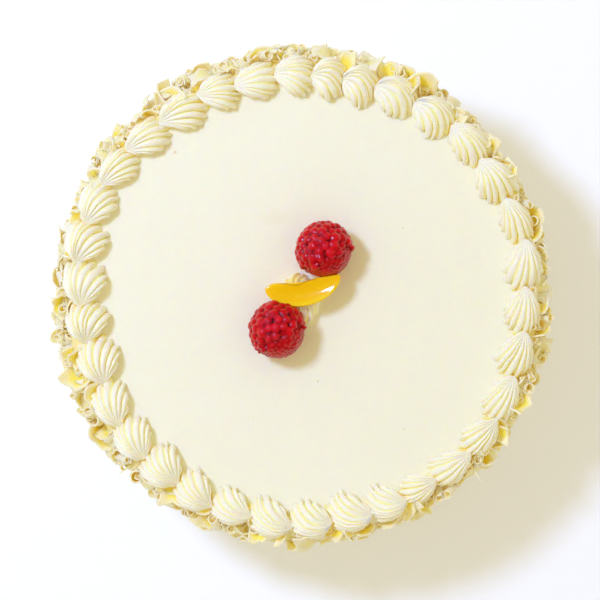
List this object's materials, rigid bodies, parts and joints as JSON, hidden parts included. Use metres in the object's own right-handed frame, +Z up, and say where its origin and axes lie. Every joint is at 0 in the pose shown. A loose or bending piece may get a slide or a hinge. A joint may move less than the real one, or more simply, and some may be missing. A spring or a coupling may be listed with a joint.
{
  "type": "lemon cake",
  "caption": "Whole round lemon cake with smooth white frosting, white chocolate curls round its side, a ring of piped cream shells on the rim and a raspberry and fruit garnish.",
  "frame": {"origin": "centre of the cake's base, on the surface it stands on", "axes": "+Z up; +X to the right and +Y to the top of the view from straight above"},
  "size_m": [0.2081, 0.2069, 0.0945],
  "materials": {
    "frosting": "smooth white cream frosting, soft satin, with pale yellow chocolate curls on the side",
    "piped_cream": "ridged piped cream, soft satin",
    "raspberry": "moist red berry with a thin clear glaze",
    "fruit": "moist yellow fruit flesh"
  },
  "bodies": {
    "root": {"cake": "frosting", "shell_01": "piped_cream", "shell_02": "piped_cream", "shell_03": "piped_cream", "shell_04": "piped_cream", "shell_05": "piped_cream", "shell_06": "piped_cream", "shell_07": "piped_cream", "shell_08": "piped_cream", "shell_09": "piped_cream", "shell_10": "piped_cream", "shell_11": "piped_cream", "shell_12": "piped_cream", "shell_13": "piped_cream", "shell_14": "piped_cream", "shell_15": "piped_cream", "shell_16": "piped_cream", "shell_17": "piped_cream", "shell_18": "piped_cream", "shell_19": "piped_cream", "shell_20": "piped_cream", "shell_21": "piped_cream", "shell_22": "piped_cream", "shell_23": "piped_cream", "shell_24": "piped_cream", "shell_25": "piped_cream", "shell_26": "piped_cream", "shell_27": "piped_cream", "shell_28": "piped_cream", "shell_29": "piped_cream", "shell_30": "piped_cream", "shell_31": "piped_cream", "shell_32": "piped_cream", "shell_33": "piped_cream", "shell_34": "piped_cream", "rosette": "piped_cream", "raspberry_1": "raspberry", "raspberry_2": "raspberry", "fruit_slice": "fruit"}
  },
  "joints": []
}
